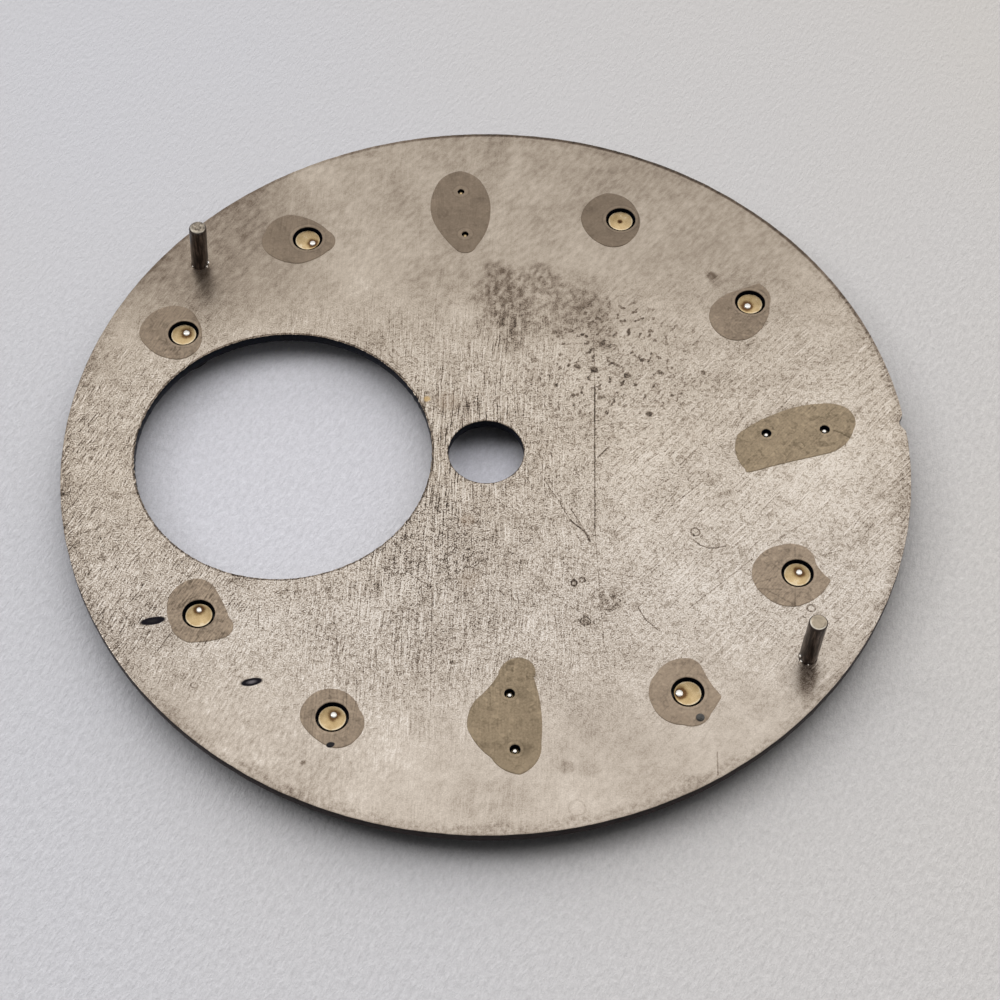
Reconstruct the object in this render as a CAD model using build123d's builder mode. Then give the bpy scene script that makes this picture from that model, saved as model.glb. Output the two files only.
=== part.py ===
from build123d import *
from math import cos, radians, sin, sqrt
import os

os.makedirs("parts", exist_ok=True)

# A round watch dial with an open-heart aperture near 9 o'clock, seen from its back.
# Lengths are millimetres. Angles are degrees, counted from 3 o'clock towards 6 o'clock.
# The origin is on the centre bore's axis, on the back face that seats on the movement.
# +X points to 3 o'clock, +Y to 6 o'clock and +Z out of the back.

# Dial plate
dial_diameter = 28.5
plate_thickness = 0.40
centre_bore_diameter = 2.53
centre_web = 0.525
rim_web = 2.42
aperture_angle = 175.8
nick_depth = 0.20
nick_width = 0.66
nick_angle = 0.3

# Hours, counted from 12 o'clock
noon_angle = -90
hour_step_angle = 30

# Dial feet
foot_08_angle = -42.4
foot_38_angle = 136.7
foot_inset = 1.27
foot_diameter = 0.60
foot_height = 2.05
foot_tip_chamfer = 0.06
bead_width = 0.08
bead_height = 0.08

# Round markers: a cup on the front face with one stub through the plate
round_hours = ("01", "02", "04", "05", "07", "08", "10", "11")
round_inset = 3.03
aperture_gap = 0.269
index_height = 0.60
round_diameter = 1.90
index_hole_diameter = 1.05
stub_gap = 0.09
stub_recess = 0.07

# Bar markers: a faceted baton on the front face with two pins through the plate
bar_lengths = {"03": 3.18, "06": 3.21, "12": 3.52}
bar_inset = 2.17
bar_width = 1.10
bar_bevel = 0.20
pin_spacing = 1.99
pin_diameter = 0.22
pin_gap = 0.055
pin_recess = 0.12

# Cups of the markers, and the luminous filling in them
cup_wall = 0.26
cup_depth = 0.28
lume_side_gap = 0.01
lume_sunk = 0.03

# Dried glue round the stubs and pins, on the back face
film_thickness = 0.03
round_film_reach = 1.20
bar_film_reach = 2.00

# The glue's outline round each stub, as shares of round_film_reach from the stub's axis. It is a
# ring of arcs: every other point is where two arcs meet, and the one between lies on its arc.
round_film_shares = {
    "01": [(0.03, 1.03), (-0.39, 0.95), (-0.77, 0.62), (-1.02, 0.12), (-0.96, -0.38), (-0.68, -0.80),
           (-0.23, -0.97), (0.32, -0.94), (0.53, -0.68), (0.73, -0.42), (0.86, -0.19), (0.65, 0.20),
           (0.48, 0.66), (0.32, 0.93)],
    "02": [(-0.27, 0.94), (-0.77, 0.79), (-1.14, 0.40), (-1.24, -0.10), (-1.02, -0.60), (-0.64, -0.95),
           (-0.14, -1.04), (0.42, -0.80), (0.86, -0.29), (0.65, 0.02), (0.54, 0.28), (0.48, 0.63),
           (0.23, 0.88), (0.00, 0.95)],
    "04": [(0.35, 0.68), (0.02, 0.58), (-0.32, 0.47), (-0.78, 0.28), (-1.15, -0.07), (-1.26, -0.57),
           (-1.03, -1.11), (-0.53, -1.36), (-0.03, -1.19), (0.39, -0.69), (0.56, -0.11), (0.56, 0.43)],
    "05": [(-0.34, 1.06), (-0.88, 0.75), (-1.18, 0.15), (-1.05, -0.45), (-0.70, -0.88), (-0.25, -1.04),
           (0.20, -0.84), (0.55, -0.25), (0.50, 0.40), (0.15, 0.90)],
    "07": [(-0.48, 0.96), (-0.93, 0.81), (-1.24, 0.39), (-1.35, -0.11), (-1.14, -0.53), (-0.73, -0.82),
           (-0.27, -0.93), (0.19, -0.79), (0.57, -0.53), (0.82, -0.15), (0.65, 0.23), (0.14, 0.72)],
    "08": [(-0.35, 1.03), (-0.81, 0.88), (-1.14, 0.53), (-1.27, 0.12), (-1.10, -0.34), (-0.73, -0.73),
           (-0.23, -0.93), (0.23, -0.80), (0.48, -0.47), (0.53, 0.03), (0.40, 0.53), (0.11, 0.91)],
    "10": [(-0.06, 1.13), (-0.48, 0.98), (-0.77, 0.65), (-0.85, 0.15), (-0.75, -0.31), (-0.56, -0.68),
           (-0.27, -0.87), (0.23, -0.87), (0.69, -0.79), (0.90, -0.56), (0.82, -0.18), (0.65, 0.32),
           (0.48, 0.73), (0.23, 1.03)],
    "11": [(0.05, 0.85), (-0.41, 0.77), (-0.70, 0.50), (-0.84, 0.13), (-0.74, -0.25), (-0.49, -0.58),
           (-0.16, -0.85), (0.22, -0.92), (0.59, -0.71), (0.82, -0.33), (0.72, 0.17), (0.53, 0.58)],
}

# The glue's outline round each pair of pins, as shares of bar_film_reach from the pair's middle
bar_film_shares = {
    "03": [(0.49, 0.54), (0.11, 0.51), (-0.29, 0.39), (-0.64, 0.24), (-0.97, 0.03), (-1.07, -0.33),
           (-0.90, -0.77), (-0.24, -0.63), (0.46, -0.50), (0.78, -0.34), (0.99, -0.03), (1.04, 0.22),
           (0.84, 0.48), (0.68, 0.53)],
    "06": [(0.03, 0.99), (-0.23, 0.91), (-0.45, 0.64), (-0.57, 0.21), (-0.53, -0.19), (-0.37, -0.56),
           (-0.18, -0.85), (-0.03, -0.93), (0.18, -0.79), (0.38, -0.46), (0.49, -0.04), (0.49, 0.36),
           (0.38, 0.71), (0.20, 0.91)],
    "12": [(0.18, 1.14), (-0.03, 1.06), (-0.15, 0.86), (-0.29, 0.67), (-0.53, 0.44), (-0.67, 0.20),
           (-0.71, -0.07), (-0.60, -0.34), (-0.38, -0.62), (-0.20, -0.84), (0.04, -0.94), (0.27, -0.80),
           (0.42, -0.42), (0.47, 0.10), (0.41, 0.75), (0.37, 1.06)],
}

# Sizes that follow from those above
dial_radius = dial_diameter / 2
bore_radius = centre_bore_diameter / 2
aperture_radius = (dial_radius - rim_web - centre_web - bore_radius) / 2
aperture_distance = bore_radius + centre_web + aperture_radius
foot_distance = dial_radius - foot_inset
foot_radius = foot_diameter / 2
round_distance = dial_radius - round_inset
bar_outer_distance = dial_radius - bar_inset
hole_radius = index_hole_diameter / 2
stub_radius = hole_radius - stub_gap
stub_top = -stub_recess
pin_radius = pin_diameter / 2
pin_hole_radius = pin_radius + pin_gap
pin_length = plate_thickness - pin_recess
front_face = -plate_thickness
marker_face = front_face - index_height
cup_floor = marker_face + cup_depth
lume_face = marker_face + lume_sunk
head_radius = round_diameter / 2
round_cup_radius = head_radius - cup_wall
bar_cup_width = bar_width - 2 * cup_wall


def on_circle(distance, angle):
    """The point at this distance from the dial's centre, at this angle from 3 o'clock."""
    return (distance * cos(radians(angle)), distance * sin(radians(angle)))


def hour_angle(hour):
    """The angle of an hour from 3 o'clock."""
    return noon_angle + int(hour) * hour_step_angle


def round_centre(hour):
    """The axis of a round marker: on the markers' circle, or as far out as clears the aperture."""
    turn = radians(hour_angle(hour) - aperture_angle)
    along = aperture_distance * cos(turn)
    aside = aperture_distance * sin(turn)
    reach = aperture_radius + aperture_gap + head_radius
    clear_distance = along + sqrt(max(reach ** 2 - aside ** 2, 0))
    return on_circle(max(round_distance, clear_distance), hour_angle(hour))


def bar_middle(hour):
    """How far a bar marker's middle, and that of its two pins, lies from the dial's centre."""
    return bar_outer_distance - bar_lengths[hour] / 2


def pin_places(hour):
    """The axes of a bar marker's two pins."""
    distances = (bar_middle(hour) - pin_spacing / 2, bar_middle(hour) + pin_spacing / 2)
    return [on_circle(distance, hour_angle(hour)) for distance in distances]


def section_plane(centre):
    """An upright plane through a marker's or a foot's axis, with its Y along +Z."""
    return Plane(origin=(*centre, 0), x_dir=(1, 0, 0), z_dir=(0, -1, 0))


def turning_axis(centre):
    """The upright axis that a turned piece is revolved about."""
    return Axis((*centre, 0), (0, 0, 1))


def film_outline(centre, reach, shares):
    """A glue patch's closed edge of arcs around a centre, drawn in the open line builder."""
    points = [(centre[0] + x * reach, centre[1] + y * reach) for x, y in shares]
    for start in range(0, len(points), 2):
        ThreePointArc(points[start], points[start + 1], points[(start + 2) % len(points)])


aperture_centre = on_circle(aperture_distance, aperture_angle)

# Dial plate: a flat disc with its bore, its aperture and the holes for the markers' stubs and pins
with BuildPart() as dial_plate:
    with BuildSketch(Plane.XY.offset(front_face)):
        Circle(dial_radius)
    extrude(amount=plate_thickness)
    with BuildSketch(Plane.XY.offset(front_face)):
        Circle(bore_radius)
        with Locations(aperture_centre):
            Circle(aperture_radius)
        with Locations(*[round_centre(hour) for hour in round_hours]):
            Circle(hole_radius)
        with Locations(*[place for hour in bar_lengths for place in pin_places(hour)]):
            Circle(pin_hole_radius)
    extrude(amount=plate_thickness, mode=Mode.SUBTRACT)
    nick_plane = Plane(origin=(0, 0, front_face), x_dir=(*on_circle(1, nick_angle), 0), z_dir=(0, 0, 1))
    with BuildSketch(nick_plane):
        nick_mouth = dial_radius + nick_depth
        with BuildLine():
            Polyline((dial_radius - nick_depth, 0), (nick_mouth, nick_width), (nick_mouth, -nick_width),
                     close=True)
        make_face()
    extrude(amount=plate_thickness, mode=Mode.SUBTRACT)
dial_plate.part.label = "dial_plate"
export_step(dial_plate.part, "parts/dial_plate.step")

# Dial feet: upright pins with a brazed bead at the root and a chamfered tip
for minute, foot_angle in {"08": foot_08_angle, "38": foot_38_angle}.items():
    foot_centre = on_circle(foot_distance, foot_angle)
    with BuildPart() as dial_foot:
        with BuildSketch(section_plane(foot_centre)):
            with BuildLine():
                Polyline(
                    (0, 0),
                    (foot_radius + bead_width, 0),
                    (foot_radius, bead_height),
                    (foot_radius, foot_height - foot_tip_chamfer),
                    (foot_radius - foot_tip_chamfer, foot_height),
                    (0, foot_height),
                    close=True)
            make_face()
        revolve(axis=turning_axis(foot_centre))
    dial_foot.part.label = f"dial_foot_minute_{minute}"
    export_step(dial_foot.part, f"parts/{dial_foot.part.label}.step")

# Round markers: a turned cup that seats on the front face, with its stub up the hole
for hour in round_hours:
    centre = round_centre(hour)
    with BuildPart() as round_index:
        with BuildSketch(section_plane(centre)):
            with BuildLine():
                Polyline(
                    (0, stub_top),
                    (stub_radius, stub_top),
                    (stub_radius, front_face),
                    (head_radius, front_face),
                    (head_radius, marker_face),
                    (round_cup_radius, marker_face),
                    (round_cup_radius, cup_floor),
                    (0, cup_floor),
                    close=True)
            make_face()
        revolve(axis=turning_axis(centre))
    round_index.part.label = f"round_index_{hour}"
    export_step(round_index.part, f"parts/{round_index.part.label}.step")

    # Filling of the cup, sunk a little below its lip
    with BuildPart() as round_lume:
        with BuildSketch(Plane.XY.offset(lume_face)):
            with Locations(centre):
                Circle(round_cup_radius - lume_side_gap)
        extrude(amount=cup_floor - lume_face)
    round_lume.part.label = f"lume_{hour}"
    export_step(round_lume.part, f"parts/{round_lume.part.label}.step")

    # Glue on the back face, open over the stub's hole
    with BuildPart() as round_film:
        with BuildSketch():
            with BuildLine():
                film_outline(centre, round_film_reach, round_film_shares[hour])
            make_face()
            with Locations(centre):
                Circle(hole_radius, mode=Mode.SUBTRACT)
        extrude(amount=film_thickness)
    round_film.part.label = f"adhesive_{hour}"
    export_step(round_film.part, f"parts/{round_film.part.label}.step")

# Bar markers: batons that end on one circle, each with two pins in line with the dial's centre
for hour, bar_length in bar_lengths.items():
    centre = on_circle(bar_middle(hour), hour_angle(hour))
    bar_cup_length = bar_length - 2 * cup_wall
    outward = (*on_circle(1, hour_angle(hour)), 0)
    seat = Plane(origin=(*centre, front_face), x_dir=outward, z_dir=(0, 0, -1))
    with BuildPart() as bar_index:
        with BuildSketch(seat):
            Rectangle(bar_length, bar_width)
        extrude(amount=index_height)
        chamfer(bar_index.faces().sort_by(Axis.Z)[0].edges(), bar_bevel)
        with BuildSketch(seat.offset(index_height)):
            Rectangle(bar_cup_length, bar_cup_width)
        extrude(amount=-cup_depth, mode=Mode.SUBTRACT)
        with BuildSketch(seat):
            with Locations((-pin_spacing / 2, 0), (pin_spacing / 2, 0)):
                Circle(pin_radius)
        extrude(amount=-pin_length)
    bar_index.part.label = f"bar_index_{hour}"
    export_step(bar_index.part, f"parts/{bar_index.part.label}.step")

    # Filling of the bar's cup, sunk a little below its lip
    with BuildPart() as bar_lume:
        with BuildSketch(seat.offset(index_height - cup_depth)):
            Rectangle(bar_cup_length - 2 * lume_side_gap, bar_cup_width - 2 * lume_side_gap)
        extrude(amount=cup_depth - lume_sunk)
    bar_lume.part.label = f"lume_{hour}"
    export_step(bar_lume.part, f"parts/{bar_lume.part.label}.step")

    # Glue on the back face, open over both pin holes
    with BuildPart() as bar_film:
        with BuildSketch():
            with BuildLine():
                film_outline(centre, bar_film_reach, bar_film_shares[hour])
            make_face()
            with Locations(*pin_places(hour)):
                Circle(pin_hole_radius, mode=Mode.SUBTRACT)
        extrude(amount=film_thickness)
    bar_film.part.label = f"adhesive_{hour}"
    export_step(bar_film.part, f"parts/{bar_film.part.label}.step")
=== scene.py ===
import math

import bmesh
import bpy
from mathutils import Matrix, Vector, noise


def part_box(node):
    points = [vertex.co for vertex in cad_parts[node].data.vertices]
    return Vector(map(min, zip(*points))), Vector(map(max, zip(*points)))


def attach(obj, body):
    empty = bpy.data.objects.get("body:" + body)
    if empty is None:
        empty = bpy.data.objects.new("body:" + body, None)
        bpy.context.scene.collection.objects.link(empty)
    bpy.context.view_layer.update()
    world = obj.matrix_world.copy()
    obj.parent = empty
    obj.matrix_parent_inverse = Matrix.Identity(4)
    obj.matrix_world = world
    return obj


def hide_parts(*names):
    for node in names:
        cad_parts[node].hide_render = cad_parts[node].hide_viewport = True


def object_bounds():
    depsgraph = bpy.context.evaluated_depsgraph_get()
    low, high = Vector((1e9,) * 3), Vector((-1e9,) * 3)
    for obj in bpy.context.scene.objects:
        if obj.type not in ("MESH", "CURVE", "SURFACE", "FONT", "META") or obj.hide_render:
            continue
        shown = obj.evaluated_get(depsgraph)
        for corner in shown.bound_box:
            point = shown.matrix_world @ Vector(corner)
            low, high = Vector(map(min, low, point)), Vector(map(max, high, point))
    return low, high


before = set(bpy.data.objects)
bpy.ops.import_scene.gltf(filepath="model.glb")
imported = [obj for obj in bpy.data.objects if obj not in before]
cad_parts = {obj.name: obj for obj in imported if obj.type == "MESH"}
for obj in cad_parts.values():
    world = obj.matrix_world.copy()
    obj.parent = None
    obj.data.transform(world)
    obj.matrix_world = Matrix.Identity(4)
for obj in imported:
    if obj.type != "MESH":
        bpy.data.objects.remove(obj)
cad_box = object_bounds()

# A watch dial that lies face down on paper. Lengths here are millimetres, and MM turns them into metres.
MM = 0.001

# The photograph's camera
CAMERA_TARGET = (0.303, -1.986, 0.0)
CAMERA_DISTANCE = 82.71
CAMERA_AZIMUTH = -5.1
CAMERA_ELEVATION = 56.25
CAMERA_ROLL = 0.456
CAMERA_LENS = 89.82
SENSOR_WIDTH = 36.0

# Paper and lamp
PAPER_REACH = 400.0
LAMP_AZIMUTH = -75.0
LAMP_ELEVATION = 35.0
LAMP_DISTANCE = 300.0
LAMP_SIZE = 84.0
LAMP_POWER = 0.09

# The sky that metal mirrors: brighter overhead and at the right, and darker on the near side
SKY_COLOUR = (1.0, 0.99, 0.985, 1.0)
SHEEN_LOW = 0.72
SHEEN_HIGH = 1.3
SHEEN_RISE = (0.7, 0.95)
SHEEN_NEAR = (-0.6, 0.4)
SHEEN_NEAR_SHARE = 0.75
SHEEN_SIDE = (0.55, 0.95)
SHEEN_SIDE_GAIN = 0.9
# The light that the sky gives, and where it is brightest
LIGHT_AZIMUTH = 2.0
LIGHT_ELEVATION = 27.0
LIGHT_FALL = (0.12, 0.74)
LIGHT_LOW = 0.076
LIGHT_HIGH = 1.7

# Centre, reach and strength of the blue that the lacquered walls throw on the paper in the holes
COOL_SPOTS = [((0.0, 0.3), 2.0, 0.9), ((-6.8, 0.8), 7.5, 0.5)]
COOL_PAPER = (0.755, 0.757, 0.83)
# Painted light and shade on the paper seen through the opening and the bore: lighter near the opening's far
# edge and darker near the bore's far edge. Centre, radius, the Y where the change starts and ends, and the
# change of brightness there
PAINTED_LIGHT_AND_SHADE = [((-6.8, 0.8), 5.0, 3.6, 5.4, 0.05, 0.3), ((0.0, 0.4), 1.4, 0.8, 1.3, 0.0, -0.35)]

# Dial plate. Holes above LARGE_HOLE in radius are no marker's, and above OPENING_HOLE only the opening is.
PLATE_THICKNESS = 0.4
LARGE_HOLE = 1.0
OPENING_HOLE = 3.0
RIM_STEPS = 720
HOLE_STEPS = 96
OPENING_STEPS = 480
BACK_BREAK = 0.03
FRONT_BREAK = 0.07
NICK_ANGLE = 0.3
NICK_WIDTH = 0.66
NICK_DEPTH = 0.2
# The minute track printed on the front: its radii and half the width of a line
MINUTE_TRACK = (13.0, 13.75)
MINUTE_LINE = 0.055

# Markers
STUB_RADIUS = 0.435
CUP_RADIUS = 0.69
CUP_DEPTH = 0.28
PIN_RADIUS = 0.095
# Raised pip on each round marker's stub: its place from the stub's axis and its radius
PIPS = {
    "01": (-0.27, 0.02, 0.13), "02": (0.07, 0.07, 0.11), "04": (-0.1, -0.1, 0.12),
    "05": (-0.02, -0.02, 0.05), "07": (0.17, -0.17, 0.11), "08": (0.1, 0.06, 0.12), "10": (0.01, 0.19, 0.1),
    "11": (0.05, 0.11, 0.11),
}
PIP_HEIGHT = 0.05
# The bar marker whose pins have lost their shine, and the round marker whose pip is only a dull dot
DULL_PINS_HOUR = "06"
DULL_PIP_HOUR = "05"

# Dial feet: how far each tip leans out of line, and how round it is
FOOT_RADIUS = 0.3
FOOT_ROOT = [(0.31, 0.0), (0.3, 0.03), (0.292, 0.08), (0.294, 0.16), (0.3, 0.3)]
FOOT_LEANS = {"08": (0.12, 0.05), "38": (0.11, -0.06)}
FOOT_TIP_ROUNDS = {"08": 0.04, "38": 0.13}
# Bits of brazing on each foot: angle round the foot in degrees, height and radius
FOOT_BITS = {
    "08": [(196, 0.24, 0.05), (214, 0.05, 0.055), (262, 0.02, 0.03)],
    "38": [(350, 0.05, 0.06), (322, 0.02, 0.045), (214, 0.04, 0.03)],
}

# Outlines of small turned forms, as shares of their radius and height
PIP_FORM = [(1.0, 0.0), (0.9, 0.5), (0.72, 0.85), (0.4, 0.98), (0.0, 1.0)]
PIN_FORM = [(1.0, 0.0), (0.92, 0.35), (0.7, 0.62), (0.36, 0.76), (0.0, 0.8)]
BIT_FORM = [(0.0, -1.0), (0.8, -0.6), (1.0, 0.0), (0.7, 0.7), (0.0, 1.0)]
BREAK_FORM = [(1.0, 0.0), (0.3, 0.3), (0.0, 1.0)]
FILM_EDGE_FORM = [(0.0, 0.0), (0.05, 0.35), (0.2, 0.7), (0.55, 0.93), (1.0, 1.0)]

# The metal's tone from black to white, and its middle tone
METAL_TONES = [
    (0.0, (0.045, 0.035, 0.028)), (0.25, (0.175, 0.131, 0.097)), (0.5, (0.402, 0.336, 0.268)),
    (0.75, (0.598, 0.518, 0.43)), (1.0, (0.82, 0.745, 0.655)),
]
MIDDLE_TONE = 0.687
# Where the metal's fine detail fades: Y on the far side and on the near side, and X towards the right
FAR_FADE = (8.5, 2.0)
NEAR_FADE = (-12.0, -6.5)
SIDE_FADE = (6.0, -3.0)
# The sanding: angle, length and width of its strokes in the middle, at the left and at the right
SANDING = [(83.0, 1.25, 0.05), (58.0, 0.44, 0.055), (44.0, 1.25, 0.05)]
# Centre, reach and gain of the places where it is strongest, and where all fine detail is
STRONG_SANDING = [((-1.3, 0.3), 3.4, 1.0), ((0.8, 3.4), 3.6, 0.5)]
STRONG_DETAIL = ((-2.3, -3.4), 2.6, 0.35)
# The long scratches between its strokes: angle, length and width in the middle and at the right
LONG_SCRATCHES = [(86.0, 2.4, 0.07), (50.0, 1.8, 0.07)]

# Scratches on the back: the points that each runs through, its width and how dark it is
SCRATCHES = [
    ([(4.1, 4.55), (3.92, 2.45)], 0.024, 0.24), ([(3.92, 2.45), (3.76, 0.95)], 0.036, 0.64),
    ([(3.76, 0.95), (3.32, -3.42)], 0.029, 0.48), ([(3.32, -3.42), (3.15, -7.83)], 0.024, 0.26),
    ([(1.81, -1.22), (2.17, -2.01), (2.54, -2.96)], 0.024, 0.32),
    ([(1.97, -1.23), (2.32, -2.15)], 0.022, 0.24),
    ([(2.54, -2.96), (2.96, -3.43), (3.11, -3.83)], 0.042, 0.56),
    ([(3.71, -0.52), (4.13, -0.14)], 0.032, 0.48), ([(2.62, -2.55), (3.12, -3.72)], 0.026, 0.34),
    ([(6.25, -11.91), (6.18, -12.7)], 0.03, 0.24), ([(5.96, -2.66), (7.04, -1.82)], 0.024, 0.36),
    ([(6.43, -1.06), (6.93, -0.57)], 0.024, 0.34), ([(5.59, -1.84), (6.03, -1.56)], 0.022, 0.3),
    ([(5.21, -4.31), (5.29, -6.08)], 0.02, 0.22), ([(6.01, -6.67), (8.32, -4.95)], 0.024, 0.34),
    ([(4.4, -6.47), (4.57, -6.94), (4.94, -7.38)], 0.03, 0.46),
    ([(6.49, -4.06), (6.69, -4.27), (6.94, -4.41), (7.2, -4.43), (7.53, -4.38)], 0.03, 0.46),
    ([(8.89, -4.5), (10.42, -3.57)], 0.02, 0.24), ([(10.5, -5.03), (11.23, -4.84)], 0.022, 0.28),
    ([(-11.05, -6.87), (-10.53, -6.14)], 0.024, 0.4), ([(2.66, -3.36), (2.87, -4.09)], 0.018, 0.2),
    ([(2.48, -3.4), (1.79, -4.27)], 0.018, 0.2), ([(-1.52, -3.19), (-1.7, -5.34)], 0.024, 0.32),
    ([(-2.18, -5.26), (-2.51, -9.5)], 0.022, 0.24),
    ([(-3.25, -6.39), (-3.58, -7.66), (-3.45, -8.59)], 0.026, 0.3),
    ([(-5.32, -6.75), (-5.36, -7.6)], 0.03, 0.3), ([(0.5, -4.15), (1.23, -3.56)], 0.024, 0.3),
    ([(-3.13, -4.38), (-2.2, -5.19)], 0.026, 0.28),
]
# Centre, radius and darkness of the small rings that dried drops left
RINGS = [
    ((6.59, -3.76), 0.15, 0.46), ((2.43, -5.4), 0.1, 0.56), ((2.7, -5.31), 0.09, 0.42),
    ((5.64, -6.07), 0.1, 0.16), ((9.6, -7.4), 0.13, 0.2), ((9.95, -6.95), 0.13, 0.42),
    ((-0.26, -6.28), 0.8, 0.17), ((3.45, -6.15), 0.52, 0.12), ((2.66, -6.87), 0.15, 0.46),
    ((3.02, -6.9), 0.09, 0.18), ((-9.9, -8.22), 0.1, 0.24), ((1.72, -13.48), 0.26, 0.1),
]
RING_WIDTH = 0.045
# Centre, radius and darkness of the spots, and of the curly mark between two rings
SPOTS = [
    ((8.53, 6.9), 0.26, 0.3), ((8.64, 6.62), 0.34, 0.1), ((5.65, 1.11), 0.18, 0.6),
    ((5.07, 2.81), 0.17, 0.45), ((1.95, 3.7), 0.16, 0.36), ((3.97, 3.15), 0.19, 0.45),
    ((3.4, 3.33), 0.16, 0.4), ((7.7, 2.7), 0.15, 0.4), ((8.6, 1.9), 0.11, 0.3), ((2.68, -6.87), 0.26, 0.2),
    ((3.6, -6.3), 0.5, 0.06), ((-0.26, -6.28), 0.85, 0.06), ((-1.73, -8.05), 0.1, 0.34),
    ((-0.92, -8.35), 0.05, 0.4), ((-1.82, -8.87), 0.08, 0.25), ((-3.12, -6.28), 0.07, 0.45),
    ((-6.56, -11.25), 0.12, 0.26), ((1.5, -12.05), 0.34, 0.16), ((2.2, -12.15), 0.45, 0.07),
]
CURLY_MARK = ((3.5, -6.15), 0.65, 0.3)
# Centre, reach and change of tone of the large soft patches
SOFT_PATCHES = [
    ((8.0, 9.5), 7.0, -0.14), ((0.0, 12.5), 6.5, -0.12), ((-7.0, -7.8), 5.5, 0.06),
    ((8.6, -2.8), 6.0, 0.05), ((-11.6, -6.8), 2.4, -0.03), ((-1.5, -9.0), 4.0, 0.04),
    ((5.0, -10.5), 5.0, -0.06), ((11.3, -5.2), 3.4, 0.03), ((-0.2, -2.0), 3.6, -0.05),
    ((-8.7, 9.8), 5.4, -0.26), ((4.9, 12.4), 3.2, -0.11), ((0.9, 13.2), 2.4, -0.06),
    ((3.0, 12.1), 2.2, 0.1), ((12.8, 0.2), 3.0, 0.07), ((2.5, -5.0), 3.0, 0.04), ((11.0, 8.0), 4.5, -0.03),
    ((-0.5, -13.0), 3.2, -0.05), ((1.0, -13.0), 6.5, -0.035), ((-2.6, 6.6), 3.0, -0.03),
    ((-9.8, -9.1), 2.6, -0.11), ((-7.3, -11.2), 2.2, -0.1), ((-3.6, -8.2), 2.0, -0.08),
    ((11.3, -2.6), 2.0, 0.09), ((6.2, -6.7), 2.6, 0.07), ((-0.3, 7.6), 2.4, -0.07),
    ((-6.8, 7.9), 1.8, 0.08),
]
# The wrinkled metal at the lower left: centre, reach and strength
WRINKLED = ((-6.5, -9.0), 5.5, 1.0)
# The painted shadow and reflection of each foot on the metal beside it: each patch's centre, angle, half
# length, half width and darkness
PAINTED_FOOT_SHADOWS = [
    ((9.46, -9.5), 72.0, 1.05, 0.42, 0.35), ((9.5, -9.4), 60.0, 1.8, 1.2, 0.07),
    ((-9.36, 8.25), 108.0, 1.0, 0.48, 0.06),
]
# Centre, radius and strength of the brown smudges, and of the golden fleck
RUST_SPOTS = [((-1.15, 2.2), 0.55, 0.28), ((-0.86, -2.7), 0.34, 0.3), ((-0.95, -5.0), 0.5, 0.16)]
RUST = (0.26, 0.17, 0.1)
GOLDEN_SPOT = ((-1.83, 2.35), 0.15, 0.8)
GOLDEN = (0.6, 0.41, 0.18)
# Centre, radius and strength of the lobes of the speckled stain, and of the specks strewn beside it
STAIN_LOBES = [
    ((1.2, 6.7), 1.5, 1.2), ((1.3, 5.7), 1.6, 1.3), ((2.7, 6.9), 1.5, 1.1), ((3.8, 6.1), 1.5, 0.9),
    ((1.1, 5.2), 1.3, 1.2), ((2.6, 5.8), 1.5, 0.9), ((4.5, 4.6), 0.9, 0.8), ((4.3, 5.6), 1.2, 0.85),
]
STREWN = ((4.5, 3.6), 3.8, 1.0)
# Radii between which the rim's wear and the dark lines at its edge set in
RIM_WEAR = (13.75, 14.05)
RIM_LINE = (14.12, 14.2)
FAR_LINE = (14.06, 14.13)
# Black ink: the centre of each stroke, its half length, its half width and how grey its middle is
INK_STROKES = [
    ((-11.19, -5.75), 0.43, 0.155, 0.1), ((-8.09, -8.25), 0.36, 0.145, 1.0),
    ((-5.7, -10.71), 0.14, 0.095, 0.0),
]
INK_ANGLE = 7.0
INK = (0.008, 0.007, 0.01)

# Dried films: how much lighter each one is than the middle tone, and how much of the sanding shows
FILMS = {
    "01": (0.2, 0.14), "02": (0.22, 0.2), "03": (0.12, 0.24), "04": (-0.02, 0.2), "05": (-0.22, 0.16),
    "06": (-0.17, 0.16), "07": (-0.12, 0.2), "08": (0.03, 0.24), "10": (0.1, 0.38), "11": (0.1, 0.24),
    "12": (0.0, 0.12),
}
FILM_TONES = [(0.13, 0.095, 0.064), (0.43, 0.335, 0.244)]
YELLOW_FILMS = ("03", "12")
YELLOW_TONES = [(0.14, 0.103, 0.06), (0.44, 0.342, 0.225)]
INKED_FILMS = ("10", "11")
FILM_EDGE = 0.09
# How far the film at 6 o'clock reaches over the edges of its holes
OVERHANG = 0.05
# Cracks in the films: the points that each runs through and how dark it is
FILM_CRACKS = {
    "02": [
        ([(9.78, -4.62), (9.45, -6.85)], 0.26), ([(8.23, -5.93), (9.01, -5.69)], 0.28),
        ([(8.25, -6.1), (9.12, -6.2)], 0.28), ([(8.66, -6.21), (9.54, -6.9)], 0.26),
    ],
    "03": [([(11.79, -0.09), (12.04, -0.23), (12.3, -0.43)], 0.5)],
    "10": [([(-10.6, -6.25), (-9.98, -5.45)], 0.16)],
}
CRACK_WIDTH = 0.035
# Dark smudges beside the pins at 12 o'clock: centre, radius and darkness
PIN_SMUDGES = [((0.36, -9.34), 0.34, 0.22), ((0.3, -11.36), 0.32, 0.22)]
# The drop of dark glue on the edge of the patch at 1 o'clock
DROP_CENTRE = (5.88, -10.67)
DROP_PROFILE = [(0.14, 0.0), (0.135, 0.05), (0.1, 0.09), (0.05, 0.11), (0.0, 0.115)]

# The range that a noise mostly keeps to
USUAL = (0.3, 0.7)


def local(x, y, z=0.0):
    """A point given in millimetres, in metres."""
    return Vector((x, y, z)) * MM


def span(node):
    """The lowest and highest corners of a CAD node, in millimetres."""
    low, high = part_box(node)
    return low / MM, high / MM


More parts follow.
